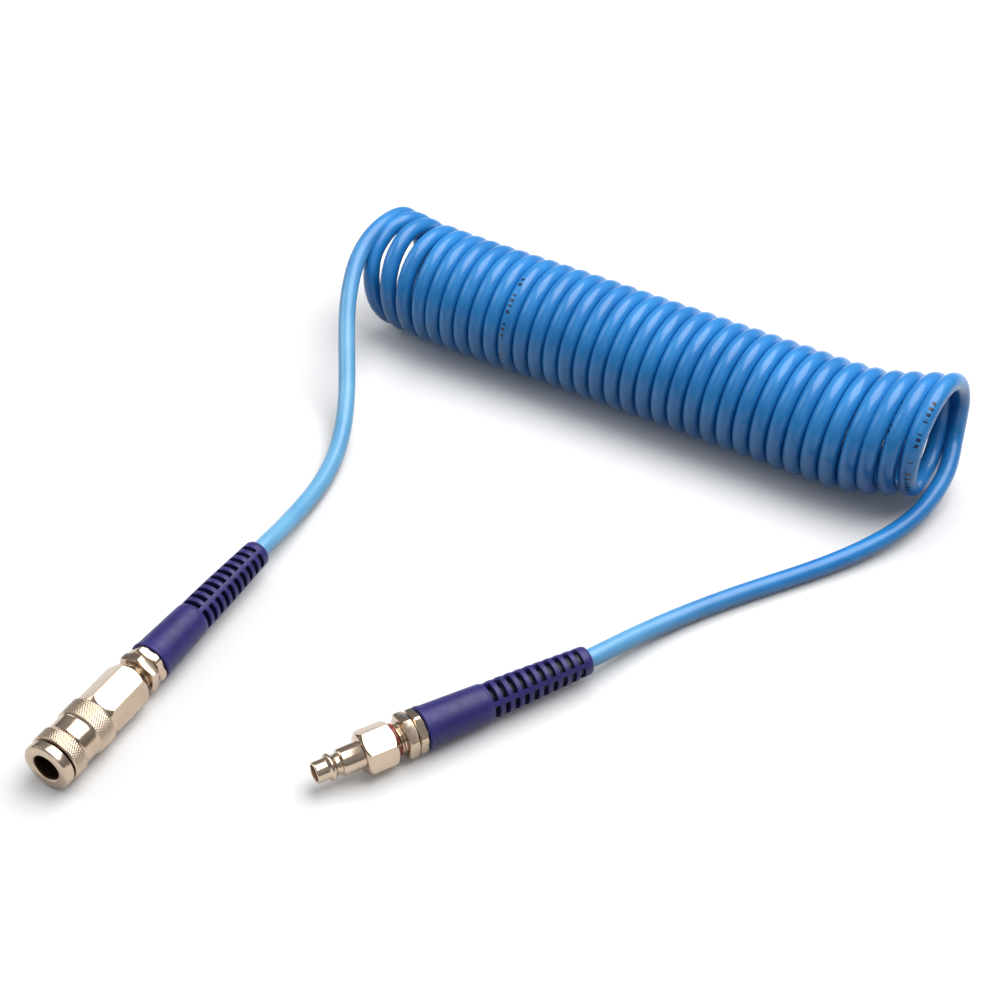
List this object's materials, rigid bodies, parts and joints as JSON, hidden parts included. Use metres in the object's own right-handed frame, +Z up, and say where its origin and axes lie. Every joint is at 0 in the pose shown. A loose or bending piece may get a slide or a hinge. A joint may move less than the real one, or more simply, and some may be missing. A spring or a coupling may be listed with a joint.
{
  "type": "coiled air hose",
  "caption": "Spiral plastic air hose with a quick coupler at one end, a plug nipple at the other, and slotted bend sleeves over both hose ends.",
  "frame": {"origin": "centre of the bounding box on the surface the hose lies on", "axes": "+Z up; the coupler's axis runs along Y and its mouth faces -Y; the wound part lies roughly along X on the +Y side"},
  "size_m": [0.377, 0.4473, 0.0708],
  "materials": {
    "hose": "glossy blue polyurethane",
    "hose_tail": "glossy blue polyurethane",
    "sleeve": "matte indigo moulded plastic",
    "nickel": "nickel-plated brass, polished",
    "brass": "bare brass",
    "steel": "polished steel balls",
    "spring": "drawn spring wire",
    "rubber": "black nitrile",
    "sealant": "red anaerobic thread sealant"
  },
  "bodies": {
    "hose_assembly": {"hose_coil": "hose", "hose_tail_coupler": "hose_tail", "hose_tail_plug": "hose_tail", "bend_sleeve_coupler": "sleeve", "bend_sleeve_plug": "sleeve", "union_nut_coupler": "nickel", "union_nut_plug": "nickel", "hose_stem_coupler": "nickel", "hose_stem_plug": "nickel", "thread_seal_plug": "sealant", "plug_nipple": "nickel", "coupler_body": "nickel", "coupler_barrel": "nickel", "plug_seal": "rubber", "barrel_seal": "rubber", "sleeve_spring": "spring", "valve_spring": "spring"},
    "lock_sleeve": {"lock_sleeve": "nickel"},
    "valve": {"valve_poppet": "brass", "valve_seal": "rubber"},
    "lock_ball_1": {"lock_ball_1": "steel"},
    "lock_ball_2": {"lock_ball_2": "steel"},
    "lock_ball_3": {"lock_ball_3": "steel"},
    "lock_ball_4": {"lock_ball_4": "steel"},
    "lock_ball_5": {"lock_ball_5": "steel"},
    "lock_ball_6": {"lock_ball_6": "steel"}
  },
  "joints": [
    {"name": "lock_sleeve_slide", "type": "slide", "parent": "hose_assembly", "child": "lock_sleeve", "axis": [0, 1, 0], "range_m": [0, 0.003], "stiffness_N_per_m": 1500, "springref_m": -0.003, "deforming": ["sleeve_spring"]},
    {"name": "valve_slide", "type": "slide", "parent": "hose_assembly", "child": "valve", "axis": [0, 1, 0], "range_m": [0, 0.004], "stiffness_N_per_m": 600, "springref_m": -0.003, "deforming": ["valve_spring"]},
    {"name": "lock_ball_1_slide", "type": "slide", "parent": "hose_assembly", "child": "lock_ball_1", "axis": [0.866, 0, -0.5], "range_m": [0, 0.0016]},
    {"name": "lock_ball_2_slide", "type": "slide", "parent": "hose_assembly", "child": "lock_ball_2", "axis": [0, 0, -1], "range_m": [0, 0.0016]},
    {"name": "lock_ball_3_slide", "type": "slide", "parent": "hose_assembly", "child": "lock_ball_3", "axis": [-0.866, 0, -0.5], "range_m": [0, 0.0016]},
    {"name": "lock_ball_4_slide", "type": "slide", "parent": "hose_assembly", "child": "lock_ball_4", "axis": [-0.866, 0, 0.5], "range_m": [0, 0.0016]},
    {"name": "lock_ball_5_slide", "type": "slide", "parent": "hose_assembly", "child": "lock_ball_5", "axis": [0, 0, 1], "range_m": [0, 0.0016]},
    {"name": "lock_ball_6_slide", "type": "slide", "parent": "hose_assembly", "child": "lock_ball_6", "axis": [0.866, 0, 0.5], "range_m": [0, 0.0016]}
  ],
  "couplings": [
    {"joint": "lock_ball_1_slide", "follows": "lock_sleeve_slide", "ratio": 0.5333},
    {"joint": "lock_ball_2_slide", "follows": "lock_sleeve_slide", "ratio": 0.5333},
    {"joint": "lock_ball_3_slide", "follows": "lock_sleeve_slide", "ratio": 0.5333},
    {"joint": "lock_ball_4_slide", "follows": "lock_sleeve_slide", "ratio": 0.5333},
    {"joint": "lock_ball_5_slide", "follows": "lock_sleeve_slide", "ratio": 0.5333},
    {"joint": "lock_ball_6_slide", "follows": "lock_sleeve_slide", "ratio": 0.5333}
  ]
}
